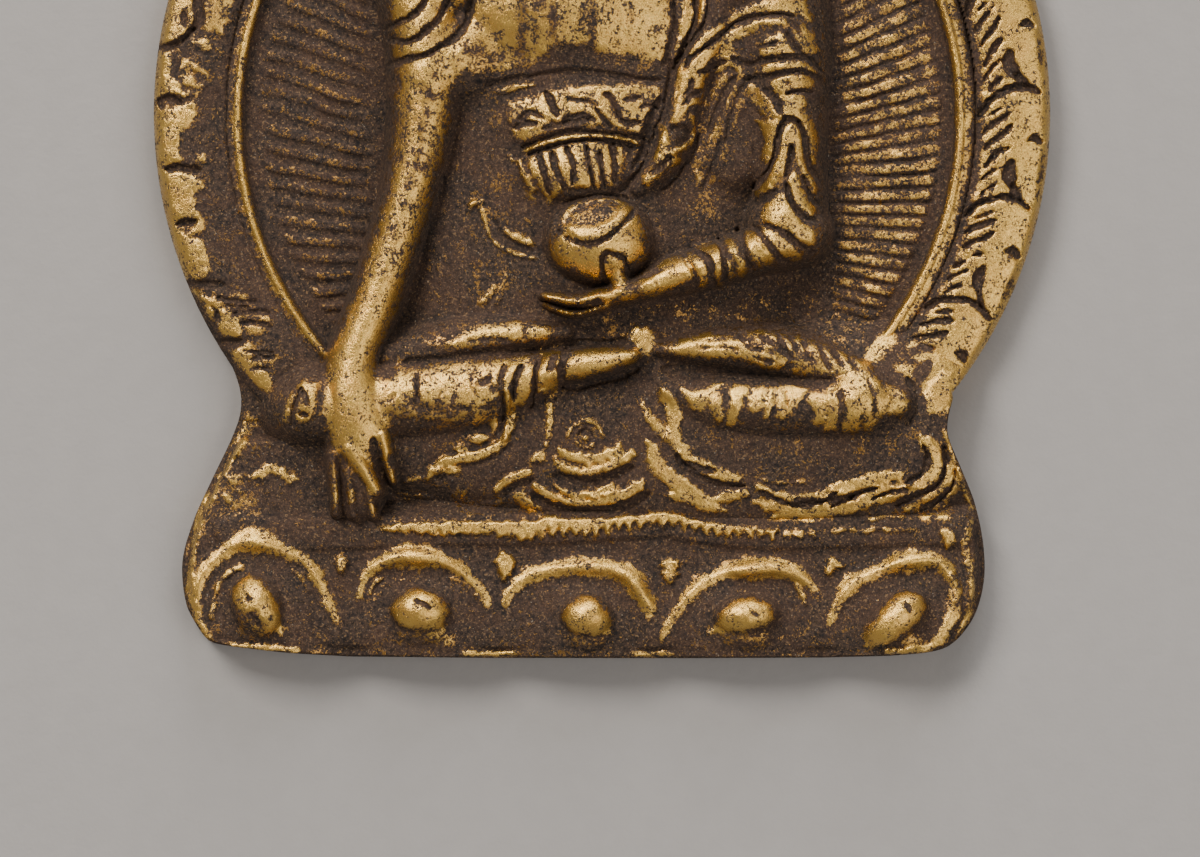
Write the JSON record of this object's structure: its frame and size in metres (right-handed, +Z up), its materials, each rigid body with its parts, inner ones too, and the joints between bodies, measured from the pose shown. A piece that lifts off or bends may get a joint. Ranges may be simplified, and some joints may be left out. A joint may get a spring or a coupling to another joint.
{
  "type": "buddha plaque",
  "caption": "Small cast brass wall plaque: seated Buddha with alms bowl on a lotus base, before a rayed round aureole with a leaf border.",
  "frame": {"origin": "centre of the round aureole, on the flat back", "axes": "+Y out of the flat back, so the relief faces -Y; +Z up the plaque; +X to the viewer's right"},
  "size_m": [0.0642, 0.0087, 0.0777],
  "materials": {
    "brass": "worn to a satin shine on the high relief, dark brown patina in the hollows"
  },
  "bodies": {
    "root": {"plaque": "brass"}
  },
  "joints": []
}
